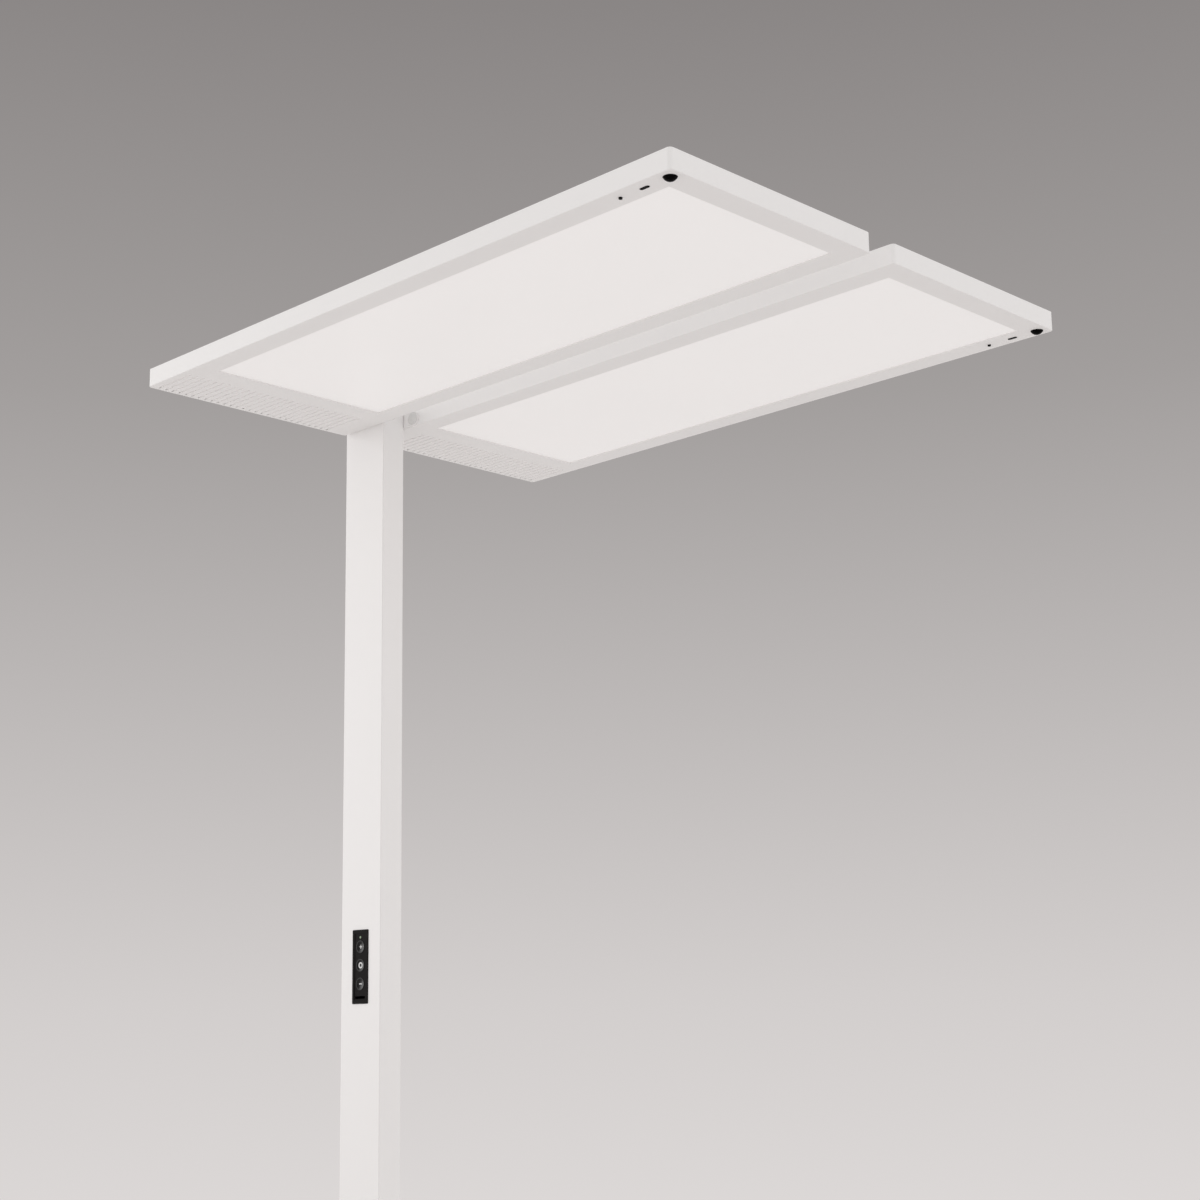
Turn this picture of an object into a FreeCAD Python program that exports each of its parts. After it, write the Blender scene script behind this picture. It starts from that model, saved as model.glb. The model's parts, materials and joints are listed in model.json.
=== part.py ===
import FreeCAD, Part
import math
import os

# Office floor lamp: two flat panel heads side by side on one slim rectangular column, on a flat
# steel base that reaches out under the heads. A keypad in the column has three round keys.
#
# Millimetres. +Z is up, +X runs from the column towards the free end of the heads, and head B
# lies at +Y of the column, head A at -Y. The origin is on the floor, in the middle of the lamp's
# outline. Heights inside a head are counted up from its underside.

# ---------------------------------------------------------------- overall sizes
TOTAL_HEIGHT = 1950.0
HEAD_LENGTH = 900.0
HEAD_WIDTH = 312.8
HEAD_THICKNESS = 23.0
BASE_REAR_OVERHANG = 30.0      # base plate behind the column

# clearances
FIT = 0.3                      # general clearance between inner pieces
CLOSE = 0.1                    # clearance of pins, inserts and tapped holes
OVER = 1.0                     # how far a cutting tool passes the face that it opens

# column
COLUMN_WIDTH = 80.0            # along X
COLUMN_DEPTH = 35.0            # along Y
COLUMN_WALL = 2.5
COLUMN_EDGE_R = 1.5
PORT_R = 4.2                   # screw ports in the column's corners
PORT_BORE_R = 2.6
PORT_INSET = 5.5               # port centre from the column's outer faces
CAP_THICKNESS = 2.0
CAP_EDGE = 0.4                 # chamfer round the cap's top
CAP_SCREW_R = 1.8
CAP_SCREW_HEAD = (3.0, 1.2)    # head radius and depth, here and below
CAP_SCREW_REACH = 9.0

# base
BASE_LENGTH = 520.0
BASE_WIDTH = 400.0
BASE_THICKNESS = 8.0
BASE_CORNER_R = 18.0
BASE_CHAMFER = 1.0
GLIDE_R = 16.0
GLIDE_THICKNESS = 3.0
GLIDE_INSET = 34.0
GASKET_THICKNESS = 1.5
GASKET_INSET = 0.4             # gasket inside the column's outline
FOOT_SCREW_R = 2.5
FOOT_SCREW_HEAD = (5.5, 3.2)
FOOT_SCREW_REACH = 28.0        # into the column's ports
SPIGOT_HEIGHT = 110.0          # bar that stands on the base inside the column
SPIGOT_REAR = 22.0             # room behind the spigot for the gland
SPIGOT_CHAMFER = 2.0

# top of the column
TOP_BLOCK_HEIGHT = 44.0
TOP_BLOCK_DROP = 1.0           # block below the column's end
JUNCTION_SIZE = (20.0, 14.0)   # wire junction's length and height
JUNCTION_SIDE = 3.7            # junction from the block's sides
JUNCTION_ROOM = 1.3            # pocket beside the junction along Y
ARM_SCREW_SPREAD = 19.0        # each side of the column's middle
ARM_SCREW_R = 2.95
ARM_SCREW_HEAD = (5.6, 2.6)
ARM_SCREW_GRIP = 12.0          # screw past the arm

# arms that carry the heads in the slits beside the column
ARM_THICKNESS = 3.0
ARM_LOW = 1.0                  # arm above the heads' underside
ARM_BELOW_TOP = 4.0            # arm below the heads' top
ARM_REACH = 28.0               # past the column's front face
ARM_REAR_INSET = 6.0
ARM_REAR_R = 2.0
ARM_PIN_INSET = 5.0            # pin from the arm's rear end
ARM_PIN_R = 3.0
ARM_BOLT_R = 3.0
ARM_BOLT_HEAD_H = 4.0
ARM_BOLT_RIM = 1.0             # straight edge under the domed head
ARM_BOLT_REACH = 10.0          # past the head's side wall
HEAD_BLOCK_DEPTH = 12.0
HEAD_BLOCK_LOWER = 1.0         # block inside the arm's height, above and below
HEAD_BLOCK_PAST = 8.0          # block past the bolt
HEAD_BLOCK_GAP = 1.0           # block from the tray's round corner

# head housing
TRAY_WALL = 2.0
TRAY_FLOOR = 1.5
TRAY_CORNER_R = 4.5
TRAY_EDGE = 0.5                # chamfer round the underside
COVER_THICKNESS = 1.5
COVER_GAP = 0.3
BORDER = 30.0                  # underside border at the outer, inner and free sides
BORDER_REAR = 110.0            # underside border at the column end, with the vents
VENT_LENGTH = 72.0
VENT_WIDTH = 2.6
VENT_PITCH = 9.8
VENT_FIRST = 12.5              # first slot's centre from the outer side
VENT_LAST = 35.0               # least distance of the last slot from the inner side
VENT_START = 4.5               # slots' near end from the column end
LINER_THICKNESS = 0.5          # white liner on the tray's floor behind the slots
LINER_OPEN = 2.5               # part of each slot that the liner leaves open
LINER_MARGIN = 3.0
POST_SIDE = 7.0
POST_BORE_R = 1.3
POST_FOOT = 2.0                # solid foot of a post under its bore
POST_INSET = 9.0
POST_PAST_VENTS = 7.5
POST_FROM_SENSORS = 130.0      # outer post from the free end
POST_PAST_ARM = 31.0           # inner post past the arm's bolt, beyond the head's block
POST_FROM_END = 12.0
COVER_SCREW_R = 1.25
COVER_SCREW_HEAD = (3.0, 1.1)
COVER_SCREW_REACH = 7.0

# light stack in a head
DIFFUSER_THICKNESS = 3.0
DIFFUSER_LAP = 5.5             # diffuser past the window's edge
GUIDE_THICKNESS = 4.0
REFLECTOR_THICKNESS = 1.0
BACK_THICKNESS = 2.0
BACK_FLANGE = 2.0
BACK_MARGIN = 8.0              # back plate past its screws
LOW_POST_ENDS = (18.0, 15.0)   # posts from the window's ends
BACK_SCREW_HEAD = (3.0, 2.0)
BACK_SCREW_REACH = 8.0
LED_BOARD = 1.2
LED_HEIGHT = 0.8
LED_WIDTH = 2.4
LED_PLAY = 0.2                 # strip inside the light guide's thickness
UPLIGHT_INSET = (30.0, 26.4)   # uplight window inside the window below, along X and Y
UPLIGHT_CORNER_R = 6.0
UPLIGHT_LAP = 6.0
UPLIGHT_THICKNESS = 2.0
UPLIGHT_BOARD_INSET = 12.0
UPLIGHT_ROWS = 3
UPLIGHT_ROW_WIDTH = 5.0
BOARD_THICKNESS = 1.6

# sensors in the free outer corner of a head
SENSOR_LINE = 14.5             # centre line from the outer side
DOME_R = 7.5
DOME_DROP = 4.6
DOME_NECK = 0.8                # neck's radius under the dome's
DOME_FLANGE = (1.6, 1.2)       # flange's width and thickness
DOME_FROM_END = 14.0
SLOT_FROM_END = 48.0
SLOT_SIZE = (12.0, 4.0)
SLOT_PROUD = 0.6
PIP_FROM_END = 81.0
PIP_R = 2.0
PIP_PROUD = 1.6
SENSOR_POSTS = (33.0, 66.0)    # posts under the sensor board, from the free end
SENSOR_POST_SIDE = 4.0
SENSOR_BOARD = (94.0, 15.0)
SENSOR_BOARD_Z = 8.5
SENSOR_BOARD_GAPS = (1.0, 1.5)  # from the end wall and the side wall
DETECTOR_R = 4.2
DETECTOR_GAP = 0.4             # above the dome's flange

# driver in the vented end of a head
DRIVER_WIDTH = 50.0            # along X
DRIVER_STAND = 2.0
DRIVER_CLEARANCE = 3.0         # below the cover
DRIVER_CHAMFER = 1.5
DRIVER_END = 7.8               # driver's body from its posts
DRIVER_POST_SIDE = 6.0
DRIVER_POST_RIB = 3            # ribs between the end slots and the posts
DRIVER_EAR = (16.0, 5.0, 1.6, 3.0)  # width, length past the post, thickness, corner radius

# keypad
KEY_R = 8.0
KEY_SPACE = 7.65               # between two keys
KEY_CLEARANCE = 0.3
KEY_TRAVEL = 0.8
KEY_RIM = 0.9                  # flat rim round the dish
KEY_DISH = 1.1
KEY_PROUD = 0.3
KEY_FLANGE = (0.9, 1.2)        # guide flange's width and thickness
KEY_PLAY = 0.1                 # flange behind the face panel
KEYPAD_SIDE = 8.0              # beside a key
KEYPAD_HEAD = 13.8             # above the keys
KEYPAD_FOOT = 17.4             # below the keys
KEYPAD_TOP_DROP = 672.6        # keypad's top edge below the heads' underside
KEYPAD_PROUD = 1.0
KEYPAD_CORNER_R = 1.5
KEYPAD_EDGE = 0.4
KEYPAD_RIM = 4.6
KEYPAD_LAP = 1.8               # rim past the window in the column
KEYPAD_PLAY = 0.2
FACE_INSET = 0.5
FACE_THICKNESS = 2.0
LEDGE = 1.3
LIGHT_DROP = 9.7
LIGHT_R = 1.5
LIGHT_PROUD = 0.2
RECEIVER_SIZE = (20.0, 3.5)
RECEIVER_FOOT = 8.1            # slot above the keypad's lower edge
RECEIVER_PANE = 1.5
SWITCH_SIDE = 6.0
SWITCH_HEIGHT = 3.5
SWITCH_GAP = 1.6               # switch behind the key's flange when pressed
SWITCH_FLOOR = 0.5
PLUNGER_R = 1.5
PLUNGER_DEPTH = 1.4            # plunger in the switch at rest
BOARD_EDGE = 0.8               # board inside the window in the column
BOARD_SCREW_R = 0.78
BOARD_SCREW_HEAD = (1.9, 1.2)
BOARD_SCREW_REACH = 3.5
BOARD_SCREW_INSET = 14.0       # from the keypad's ends, along its height
BOARD_SOURCE = (3.0, 2.4, 1.2)  # light source behind the pilot light
HOOK_SIZE = (1.0, 3.9, 6.0)    # snap hooks: reach, depth, height
HOOK_INSET = (16.0, 16.0)      # hooks from the box's lower and upper end

# cables, terminals and gland
GLAND_BORE_R = 3.6
GLAND_R = 6.0
GLAND_HEIGHT = 40.0            # above the base plate
GLAND_FLANGE = (2.4, 2.0)      # flange past the body, and its thickness
GLAND_CHAMFER = 1.2
GLAND_INSIDE = 9.0             # body past the column's wall
GLAND_NUT_R = 8.8
GLAND_NUT_HEIGHT = 4.0
NUT_SIDES = 6
TERMINAL_SIZE = (30.0, 16.0, 46.0)
TERMINAL_WAYS = (9.0, 12.0, 2.4, 6.0)  # pitch, height, radius and depth of the wire entries
COLUMN_CABLE_R = 3.5
HEAD_CABLE_R = 2.5
BUSH_WALL = 1.2

# ---------------------------------------------------------------- places worked out
OVERALL_LENGTH = BASE_REAR_OVERHANG + HEAD_LENGTH
REAR_X = -OVERALL_LENGTH / 2 + BASE_REAR_OVERHANG     # column's rear face and heads' end
FRONT_X = REAR_X + HEAD_LENGTH
COLUMN_X = REAR_X + COLUMN_WIDTH / 2
BASE_X = (REAR_X - BASE_REAR_OVERHANG, REAR_X - BASE_REAR_OVERHANG + BASE_LENGTH)
UNDERSIDE = TOTAL_HEIGHT - HEAD_THICKNESS
BASE_TOP = GLIDE_THICKNESS + BASE_THICKNESS
COLUMN_FOOT = BASE_TOP + GASKET_THICKNESS
COLUMN_TOP = TOTAL_HEIGHT - CAP_THICKNESS
COLUMN_FACE = -COLUMN_DEPTH / 2                       # the face with the keypad
WALL_Y = COLUMN_DEPTH / 2 - COLUMN_WALL               # inner face of the column's side wall
CAVITY_X = COLUMN_WIDTH / 2 - PORT_INSET - PORT_R - FIT    # half the room between the ports
CAVITY_Y = WALL_Y - FIT
SPIGOT_X = (REAR_X + SPIGOT_REAR, COLUMN_X + CAVITY_X)
SPIGOT_TOP = BASE_TOP + SPIGOT_HEIGHT
GLAND_Z = BASE_TOP + GLAND_HEIGHT
INNER_Y = COLUMN_DEPTH / 2 + ARM_THICKNESS            # head's inner side
OUTER_Y = INNER_Y + HEAD_WIDTH
WINDOW_X = (REAR_X + BORDER_REAR, FRONT_X - BORDER)
WINDOW_Y = (INNER_Y + BORDER, OUTER_Y - BORDER)
ARM_Z = UNDERSIDE + ARM_LOW
ARM_HEIGHT = HEAD_THICKNESS - ARM_LOW - ARM_BELOW_TOP
ARM_BOLT_HEAD_R = ARM_HEIGHT / 2
ARM_MID_Z = ARM_Z + ARM_HEIGHT / 2
ARM_NOSE_X = REAR_X + COLUMN_WIDTH + ARM_REACH - ARM_HEIGHT / 2
ARM_SCREWS_X = (COLUMN_X - ARM_SCREW_SPREAD, COLUMN_X + ARM_SCREW_SPREAD)
ARM_PIN_X = REAR_X + ARM_REAR_INSET + ARM_PIN_INSET
JUNCTION_Y = CAVITY_Y - JUNCTION_SIDE                 # half the junction's depth
CABLE_Y = JUNCTION_Y - COLUMN_CABLE_R                 # the column cable runs behind the keypad
CABLE_HOLE_R = HEAD_CABLE_R + FIT + BUSH_WALL + CLOSE
TRAY_TOP = UNDERSIDE + TRAY_FLOOR                     # upper face of the tray's floor
COVER_LOW = TOTAL_HEIGHT - COVER_THICKNESS
GUIDE_LOW = TRAY_TOP + DIFFUSER_THICKNESS
REFLECTOR_LOW = GUIDE_LOW + GUIDE_THICKNESS
BACK_LOW = REFLECTOR_LOW + REFLECTOR_THICKNESS
BACK_TOP = BACK_LOW + BACK_THICKNESS
STACK_X = (WINDOW_X[0] - DIFFUSER_LAP, WINDOW_X[1] + DIFFUSER_LAP)
STACK_Y = (WINDOW_Y[0] - DIFFUSER_LAP, WINDOW_Y[1] + DIFFUSER_LAP)
VENT_COUNT = 1 + int((HEAD_WIDTH - VENT_FIRST - VENT_LAST) / VENT_PITCH)
DRIVER_HEIGHT = HEAD_THICKNESS - TRAY_FLOOR - DRIVER_STAND - COVER_THICKNESS - DRIVER_CLEARANCE
SENSOR_Y = OUTER_Y - SENSOR_LINE
KEY_PITCH = 2 * KEY_R + KEY_SPACE
KEYPAD_WIDTH = 2 * (KEY_R + KEYPAD_SIDE)
KEYPAD_HEIGHT = KEYPAD_HEAD + 2 * KEY_R + 2 * KEY_PITCH + KEYPAD_FOOT
KEYPAD_TOP = UNDERSIDE - KEYPAD_TOP_DROP
KEYPAD_LOW = KEYPAD_TOP - KEYPAD_HEIGHT
RIM_Y = COLUMN_FACE - KEYPAD_PROUD                    # front of the keypad's rim
FACE_Y = RIM_Y + FACE_INSET                           # front of the inner face panel
FACE_BACK = FACE_Y + FACE_THICKNESS
SWITCH_FACE = FACE_BACK + KEY_FLANGE[1] + KEY_TRAVEL + SWITCH_GAP
BOARD_FRONT = SWITCH_FACE + SWITCH_HEIGHT
BOARD_BACK = BOARD_FRONT + BOARD_THICKNESS


# ---------------------------------------------------------------- shape helpers
def box(x0, x1, y0, y1, z0, z1):
    return Part.makeBox(x1 - x0, y1 - y0, z1 - z0, FreeCAD.Vector(x0, y0, z0))


def post(place, side, z0, z1):
    """Square post round a point (x, y)."""
    x, y = place
    half = side / 2
    return box(x - half, x + half, y - half, y + half, z0, z1)


def on_axis(axis, centre, start):
    """Point on a line along X, Y or Z. centre holds the two other coordinates, in X, Y, Z order."""
    a, b = centre
    return FreeCAD.Vector(*{"X": (start, a, b), "Y": (a, start, b), "Z": (a, b, start)}[axis])


def direction(axis, sign=1):
    return FreeCAD.Vector(*{"X": (sign, 0, 0), "Y": (0, sign, 0), "Z": (0, 0, sign)}[axis])


def cylinder(axis, centre, start, end, radius):
    return Part.makeCylinder(radius, end - start, on_axis(axis, centre, start), direction(axis))


def cone(axis, centre, start, end, start_r, end_r):
    return Part.makeCone(start_r, end_r, end - start, on_axis(axis, centre, start), direction(axis))


def rounded_outline(u0, u1, v0, v1, radius, place):
    """Closed wire of a rectangle with round corners. place turns (u, v) into a point."""
    bend = radius * (1 - math.sqrt(0.5))
    corners = [  # arc start, arc middle, arc end
        ((u1 - radius, v0), (u1 - bend, v0 + bend), (u1, v0 + radius)),
        ((u1, v1 - radius), (u1 - bend, v1 - bend), (u1 - radius, v1)),
        ((u0 + radius, v1), (u0 + bend, v1 - bend), (u0, v1 - radius)),
        ((u0, v0 + radius), (u0 + bend, v0 + bend), (u0 + radius, v0)),
    ]
    edges = []
    for index, (start, middle, end) in enumerate(corners):
        edges.append(Part.Arc(place(*start), place(*middle), place(*end)).toShape())
        following = corners[(index + 1) % len(corners)][0]
        if math.dist(end, following) > 1e-6:
            edges.append(Part.LineSegment(place(*end), place(*following)).toShape())
    return Part.Wire(edges)


def rounded_plate(x0, x1, y0, y1, z0, z1, radius):
    """Flat plate with round vertical corners."""
    wire = rounded_outline(x0, x1, y0, y1, radius, lambda u, v: FreeCAD.Vector(u, v, z0))
    return Part.Face(wire).extrude(FreeCAD.Vector(0, 0, z1 - z0))


def rounded_panel(x0, x1, z0, z1, y0, y1, radius):
    """Upright panel, thick along Y, with round corners."""
    wire = rounded_outline(x0, x1, z0, z1, radius, lambda u, v: FreeCAD.Vector(u, y0, v))
    return Part.Face(wire).extrude(FreeCAD.Vector(0, y1 - y0, 0))


def turned(points, origin, along):
    """Solid turned from a closed half profile of (radius, height) points along an axis."""
    side = FreeCAD.Vector(1, 0, 0) if abs(along.x) < 0.5 else FreeCAD.Vector(0, 0, 1)
    ring = [origin + side * radius + along * height for radius, height in points]
    return Part.Face(Part.makePolygon(ring + ring[:1])).revolve(origin, along, 360)


def ball_for(radius, height, axis, centre, tip, sign):
    """Ball whose cap of a radius and height has its tip at a point and swells back along sign."""
    ball_r = (radius ** 2 + height ** 2) / (2 * height)
    middle = on_axis(axis, centre, tip + sign * ball_r)
    across = direction("X" if axis == "Z" else "Z")
    return Part.makeSphere(ball_r, middle, across)


def joined(shapes):
    return shapes[0].multiFuse(shapes[1:]).removeSplitter()


def without(shape, tools):
    return shape.cut(Part.makeCompound(tools))


def mirrored(shape):
    """The same piece on the other side of the lamp's middle plane."""
    return shape.mirror(FreeCAD.Vector(0, 0, 0), FreeCAD.Vector(0, 1, 0))


def screw(axis, centre, start, end, shank_r, head, countersunk=True):
    """Screw whose head ends at start and whose tip ends at end, either way along the axis."""
    sign = 1 if end > start else -1
    length = abs(end - start)
    head_r, head_h = head
    profile = [(0, 0), (head_r, 0), (shank_r, head_h), (shank_r, length), (0, length)]
    if not countersunk:
        profile.insert(2, (head_r, head_h))
    return turned(profile, on_axis(axis, centre, start), direction(axis, sign))


def hexagon(origin, along, radius, height):
    """Six-sided prism whose corners lie at a radius round a line along X or Y."""
    turns = [index * math.tau / NUT_SIDES for index in range(NUT_SIDES + 1)]
    across = FreeCAD.Vector(0, 0, 1)
    beside = FreeCAD.Vector(along.y, along.x, 0)
    ring = [origin + across * (radius * math.cos(t)) + beside * (radius * math.sin(t)) for t in turns]
    return Part.Face(Part.makePolygon(ring)).extrude(along * height)


def edges_where(shape, test):
    """Edges of a shape whose bounding box passes a test."""
    return [edge for edge in shape.Edges if test(edge.BoundBox)]


# ---------------------------------------------------------------- storing the pieces
PIECES = {}


def keep(name, *shapes):
    """Store the solids of one named piece."""
    solids = [solid for shape in shapes for solid in shape.Solids]
    for solid in solids:
        if not solid.isValid() or solid.Volume <= 0:
            raise ValueError(name + " has a bad solid")
    PIECES[name] = solids


def keep_pair(name, *shapes):
    """Store a piece of head B, and its mirror image for head A."""
    keep(name + "_b", *shapes)
    keep(name + "_a", *[mirrored(shape) for shape in shapes])


def keep_both(name, *shapes):
    """Store pieces of head B and their mirror images for head A as one group."""
    keep(name, *shapes, *[mirrored(shape) for shape in shapes])


# ---------------------------------------------------------------- base and column
def corner_ports():
    """Centres of the four screw ports in the column's corners."""
    dx = COLUMN_WIDTH / 2 - PORT_INSET
    dy = COLUMN_DEPTH / 2 - PORT_INSET
    return [(COLUMN_X + i * dx, j * dy) for i in (-1, 1) for j in (-1, 1)]


def screwed_ports():
    """The two ports, in opposite corners, that take the screws of the base and the top cap."""
    ports = corner_ports()
    return [ports[0], ports[-1]]


def glide_places():
    x0, x1 = BASE_X
    y = BASE_WIDTH / 2 - GLIDE_INSET
    return [(x, side * y) for x in (x0 + GLIDE_INSET, x1 - GLIDE_INSET) for side in (-1, 1)]


def base_plate():
    x0, x1 = BASE_X
    half = BASE_WIDTH / 2
    plate = rounded_plate(x0, x1, -half, half, GLIDE_THICKNESS, BASE_TOP, BASE_CORNER_R)
    plate = plate.makeChamfer(BASE_CHAMFER, edges_where(plate, lambda b: b.ZMin > BASE_TOP - CLOSE))
    holes = []
    head_r, head_h = FOOT_SCREW_HEAD
    low = GLIDE_THICKNESS
    for port in screwed_ports():
        holes.append(cone("Z", port, low, low + head_h, head_r + FIT, FOOT_SCREW_R + FIT))
        holes.append(cylinder("Z", port, low, BASE_TOP, FOOT_SCREW_R + FIT))
    keep("base_plate", without(plate, holes))
    keep("base_glides", *[cylinder("Z", place, 0, GLIDE_THICKNESS, GLIDE_R) for place in glide_places()])


def column_outline(z0, z1, inset=0.0):
    half = COLUMN_DEPTH / 2 - inset
    return rounded_plate(REAR_X + inset, REAR_X + COLUMN_WIDTH - inset, -half, half, z0, z1,
                         COLUMN_EDGE_R - inset)


def column_foot():
    """Bar that stands on the base inside the column, gasket round it, and screws from below."""
    x0, x1 = SPIGOT_X
    bar = box(x0, x1, -CAVITY_Y, CAVITY_Y, BASE_TOP, SPIGOT_TOP)
    bar = bar.makeChamfer(SPIGOT_CHAMFER, edges_where(bar, lambda b: b.ZMin > SPIGOT_TOP - CLOSE))
    keep("foot_spigot", bar)
    gasket = column_outline(BASE_TOP, COLUMN_FOOT, GASKET_INSET)
    holes = [cylinder("Z", port, BASE_TOP, COLUMN_FOOT, FOOT_SCREW_R + FIT) for port in screwed_ports()]
    holes.append(box(x0 - FIT, x1 + FIT, -CAVITY_Y - FIT, CAVITY_Y + FIT, BASE_TOP, COLUMN_FOOT))
    keep("foot_gasket", without(gasket, holes))
    keep("foot_screws", *[screw("Z", port, GLIDE_THICKNESS + CLOSE, COLUMN_FOOT + FOOT_SCREW_REACH,
                                FOOT_SCREW_R, FOOT_SCREW_HEAD) for port in screwed_ports()])


def keypad_window():
    """Cut-out in the column's wall behind the keypad's rim: half width, low and high edge."""
    return KEYPAD_WIDTH / 2 - KEYPAD_LAP, KEYPAD_LOW + KEYPAD_LAP, KEYPAD_TOP - KEYPAD_LAP


def nut_room():
    """Space for the gland's nut, which mills the screw ports away where the column is narrow."""
    across = GLAND_NUT_R * math.cos(math.pi / NUT_SIDES) + CLOSE
    high = GLAND_NUT_R + FIT
    x = REAR_X + COLUMN_WALL
    return box(x, x + GLAND_INSIDE + FIT, -across, across, GLAND_Z - high, GLAND_Z + high)


def column():
    outer = column_outline(COLUMN_FOOT, COLUMN_TOP)
    inside = box(REAR_X + COLUMN_WALL, REAR_X + COLUMN_WIDTH - COLUMN_WALL, -WALL_Y, WALL_Y,
                 COLUMN_FOOT, COLUMN_TOP)
    ports = [cylinder("Z", port, COLUMN_FOOT, COLUMN_TOP, PORT_R) for port in corner_ports()]
    profile = joined([outer.cut(inside)] + [port.common(outer) for port in ports])
    cuts = [cylinder("Z", port, COLUMN_FOOT, COLUMN_TOP, PORT_BORE_R) for port in corner_ports()]
    reach, low, high = keypad_window()
    cuts.append(box(COLUMN_X - reach, COLUMN_X + reach, COLUMN_FACE - OVER,
                    COLUMN_FACE + COLUMN_WALL + CLOSE, low, high))
    cuts.append(cylinder("X", (0, GLAND_Z), REAR_X - OVER, REAR_X + COLUMN_WALL + OVER, GLAND_R + CLOSE))
    cuts.append(nut_room())
    for side in (-1, 1):
        y0, y1 = sorted((side * (WALL_Y - CLOSE), side * (COLUMN_DEPTH / 2 + OVER)))
        cuts += [cylinder("Y", (x, ARM_MID_Z), y0, y1, ARM_SCREW_R + FIT) for x in ARM_SCREWS_X]
        cuts.append(cylinder("Y", (COLUMN_X, ARM_MID_Z), y0, y1, CABLE_HOLE_R))
    keep("column", without(profile, cuts))


def column_cap():
    plate = column_outline(COLUMN_TOP, TOTAL_HEIGHT)
    plate = plate.makeChamfer(CAP_EDGE, edges_where(plate, lambda b: b.ZMin > TOTAL_HEIGHT - CLOSE))
    head_r, _ = CAP_SCREW_HEAD
    holes = [cone("Z", port, COLUMN_TOP, TOTAL_HEIGHT, CAP_SCREW_R + CLOSE, head_r + FIT)
             for port in screwed_ports()]
    keep("column_cap", without(plate, holes))
    keep("cap_screws", *[screw("Z", port, TOTAL_HEIGHT - CLOSE, COLUMN_TOP - CAP_SCREW_REACH,
                               CAP_SCREW_R, CAP_SCREW_HEAD) for port in screwed_ports()])


def cable_gland():
    """Round bush for the mains lead at the column's foot, with its lock nut inside."""
    wide, thick = GLAND_FLANGE
    inside = COLUMN_WALL + GLAND_INSIDE
    profile = [(GLAND_BORE_R, -thick), (GLAND_R + wide - GLAND_CHAMFER, -thick),
               (GLAND_R + wide, GLAND_CHAMFER - thick), (GLAND_R + wide, 0),
               (GLAND_R, 0), (GLAND_R, inside), (GLAND_BORE_R, inside)]
    keep("cable_gland", turned(profile, on_axis("X", (0, GLAND_Z), REAR_X), direction("X")))
    x0 = REAR_X + COLUMN_WALL
    nut = hexagon(on_axis("X", (0, GLAND_Z), x0), direction("X"), GLAND_NUT_R, GLAND_NUT_HEIGHT)
    bore = cylinder("X", (0, GLAND_Z), x0 - OVER, x0 + GLAND_NUT_HEIGHT + OVER, GLAND_R + CLOSE)
    keep("gland_nut", nut.cut(bore))


def terminal_block():
    """Screw terminals on top of the foot spigot, where the mains lead is joined."""
    length, depth, height = TERMINAL_SIZE
    pitch, rise, radius, deep = TERMINAL_WAYS
    y0 = WALL_Y - depth
    body = box(COLUMN_X - length / 2, COLUMN_X + length / 2, y0, y0 + depth, SPIGOT_TOP, SPIGOT_TOP + height)
    ways = [cylinder("Y", (COLUMN_X + step * pitch, SPIGOT_TOP + rise), y0 - OVER, y0 + deep, radius)
            for step in (-1, 0, 1)]
    keep("terminal_block", without(body, ways))


def column_wiring():
    """Block in the column's top that takes the arms' screws, and the wire junction in its pocket."""
    z1 = COLUMN_TOP - TOP_BLOCK_DROP
    z0 = z1 - TOP_BLOCK_HEIGHT
    x0, x1 = COLUMN_X - CAVITY_X, COLUMN_X + CAVITY_X
    length, height = JUNCTION_SIZE
    pocket_y = JUNCTION_Y + JUNCTION_ROOM
    cuts = [box(COLUMN_X - length / 2 - FIT, COLUMN_X + length / 2 + FIT, -pocket_y, pocket_y, z0, z1)]
    cuts.append(cylinder("Y", (COLUMN_X, ARM_MID_Z), -CAVITY_Y, CAVITY_Y, CABLE_HOLE_R))
    cuts += [cylinder("Y", (x, ARM_MID_Z), -CAVITY_Y, CAVITY_Y, ARM_SCREW_R + CLOSE) for x in ARM_SCREWS_X]
    keep("top_block", without(box(x0, x1, -CAVITY_Y, CAVITY_Y, z0, z1), cuts))
    low = ARM_MID_Z - height / 2
    keep("wire_junction", box(COLUMN_X - length / 2, COLUMN_X + length / 2, -JUNCTION_Y, JUNCTION_Y,
                              low, low + height))
    keep("column_cable", cylinder("Z", (COLUMN_X, CABLE_Y), SPIGOT_TOP + TERMINAL_SIZE[2], low,
                                  COLUMN_CABLE_R))


# ---------------------------------------------------------------- arms between column and heads
def arm_shape():
    """Flat arm at +Y of the column, with a full round nose in front of it."""
    x0 = REAR_X + ARM_REAR_INSET
    y0, y1 = COLUMN_DEPTH / 2, INNER_Y
    z1 = ARM_Z + ARM_HEIGHT
    bar = rounded_panel(x0, ARM_NOSE_X, ARM_Z, z1, y0, y1, ARM_REAR_R)
    square = box(ARM_NOSE_X - 2 * ARM_REAR_R, ARM_NOSE_X, y0, y1, ARM_Z, z1)
    nose = cylinder("Y", (ARM_NOSE_X, ARM_MID_Z), y0, y1, ARM_HEIGHT / 2)
    cuts = [cylinder("Y", (ARM_NOSE_X, ARM_MID_Z), y0, y1, ARM_BOLT_R + FIT),
            cylinder("Y", (ARM_PIN_X, ARM_MID_Z), y0, y1, ARM_PIN_R + FIT),
            cylinder("Y", (COLUMN_X, ARM_MID_Z), y0, y1, CABLE_HOLE_R)]
    head_r, _ = ARM_SCREW_HEAD
    cuts += [cone("Y", (x, ARM_MID_Z), y0, y1, ARM_SCREW_R + FIT, head_r + FIT) for x in ARM_SCREWS_X]
    return without(joined([bar, square, nose]), cuts)


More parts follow.
